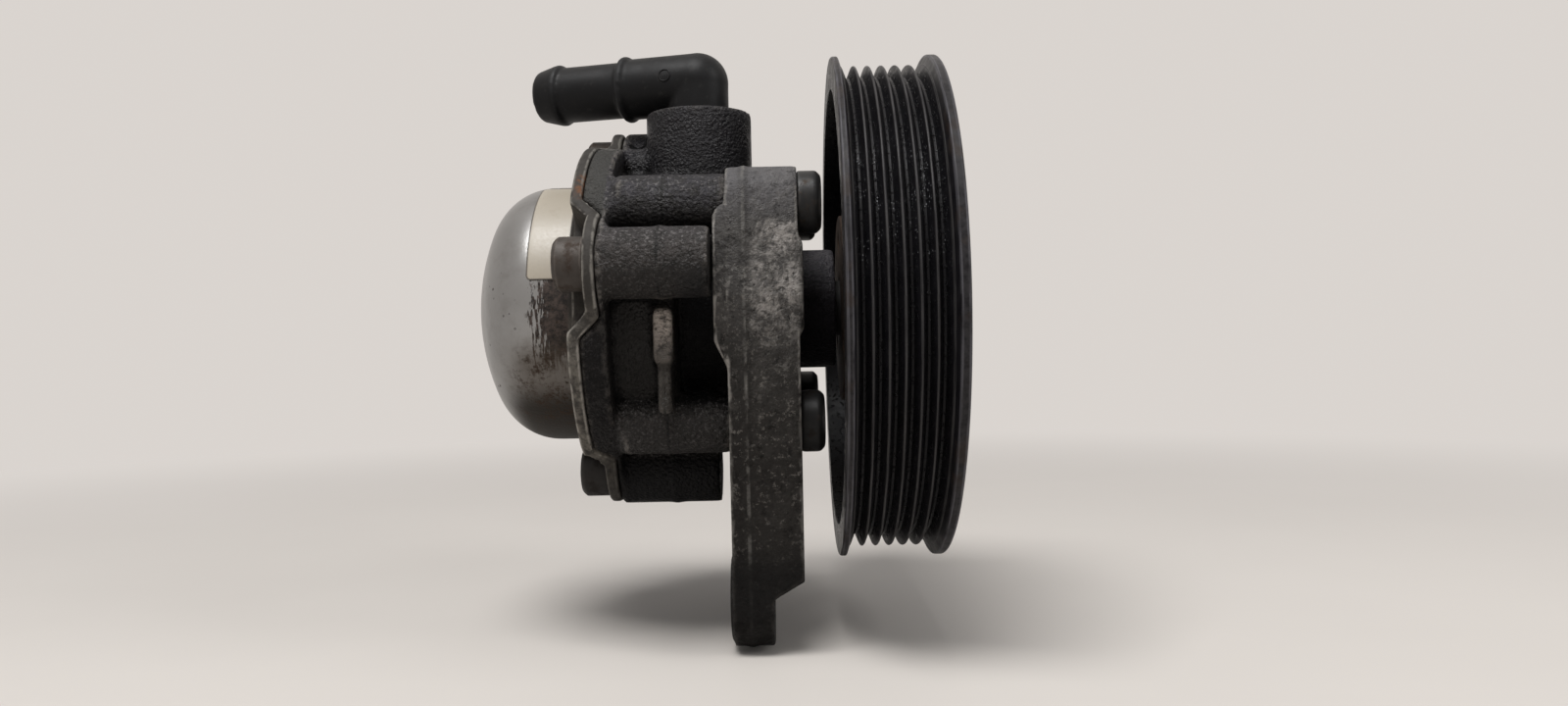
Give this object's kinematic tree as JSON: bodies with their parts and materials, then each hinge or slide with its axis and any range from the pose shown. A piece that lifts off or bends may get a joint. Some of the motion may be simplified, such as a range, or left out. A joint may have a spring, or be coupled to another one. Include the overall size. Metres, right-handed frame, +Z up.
{
  "type": "power steering pump",
  "caption": "Vane pump with a domed steel rear cover, a cast housing and mounting bracket, a plastic suction elbow and a ribbed belt pulley that turns the rotor inside.",
  "frame": {"origin": "on the shaft axis, in the plane of the bracket's rear face", "axes": "+X along the shaft towards the pulley, +Z up towards the suction elbow, -Y towards the near side"},
  "size_m": [0.1211, 0.1369, 0.1564],
  "materials": {
    "housing_metal": "as cast, oily and dark",
    "bracket_metal": "as cast, dulled by oxide",
    "cover_steel": "drawn sheet, satin with light stains",
    "bolt_steel": "dark bolts with dull heads",
    "cover_bolt_steel": "browned by light rust",
    "seal_rubber": "matt black",
    "elbow_plastic": "moulded black",
    "spring_steel": "drawn wire and strip",
    "bush_brass": "bearing bronze",
    "bearing_steel": "ground and polished",
    "cage_brass": "pressed",
    "pack_steel": "ground",
    "shaft_steel": "ground",
    "hub_steel": "bare, with a film of rust",
    "pulley_paint": "black paint, worn bright on the crests",
    "plug_steel": "plated"
  },
  "bodies": {
    "pump": {"pump_housing": "housing_metal", "mounting_bracket": "bracket_metal", "bracket_bolts": "bolt_steel", "rear_cover": "cover_steel", "cover_bolts": "cover_bolt_steel", "cover_seal": "seal_rubber", "suction_elbow": "elbow_plastic", "elbow_seal": "seal_rubber", "elbow_clip": "spring_steel", "rear_bush": "bush_brass", "shaft_seal": "seal_rubber", "bearing_outer_race": "bearing_steel", "bearing_clip": "spring_steel", "thrust_plate": "pack_steel", "cam_ring": "pack_steel", "pressure_plate": "pack_steel", "locating_pins": "bearing_steel", "pack_spring": "spring_steel", "valve_plug": "plug_steel", "plug_seal": "seal_rubber", "valve_spring": "spring_steel"},
    "drive": {"drive_shaft": "shaft_steel", "rotor": "pack_steel", "vanes": "pack_steel", "rotor_clip": "spring_steel", "bearing_inner_race": "bearing_steel", "drive_hub": "hub_steel", "pulley": "pulley_paint", "pulley_web": "pulley_paint", "pulley_bolts": "bolt_steel"},
    "ball_set": {"bearing_cage": "cage_brass", "bearing_balls": "bearing_steel"},
    "valve": {"valve_spool": "shaft_steel", "relief_seat": "plug_steel", "relief_spring": "spring_steel"},
    "relief": {"relief_ball": "bearing_steel"}
  },
  "joints": [
    {"name": "pulley_spin", "type": "hinge", "parent": "pump", "child": "drive", "pos_m": [0, 0, 0], "axis": [1, 0, 0], "continuous": true},
    {"name": "ball_set_spin", "type": "hinge", "parent": "pump", "child": "ball_set", "pos_m": [0, 0, 0], "axis": [1, 0, 0], "continuous": true},
    {"name": "spool_slide", "type": "slide", "parent": "pump", "child": "valve", "axis": [0, 0, -1], "range_m": [0, 0.008], "stiffness_N_per_m": 80, "springref_m": -0.006, "deforming": ["valve_spring"]},
    {"name": "relief_lift", "type": "slide", "parent": "valve", "child": "relief", "axis": [0, 0, 1], "range_m": [0, 0.0008], "stiffness_N_per_m": 4, "springref_m": -0.002, "deforming": ["relief_spring"]}
  ],
  "couplings": [
    {"joint": "ball_set_spin", "follows": "pulley_spin", "ratio": 0.41163}
  ]
}
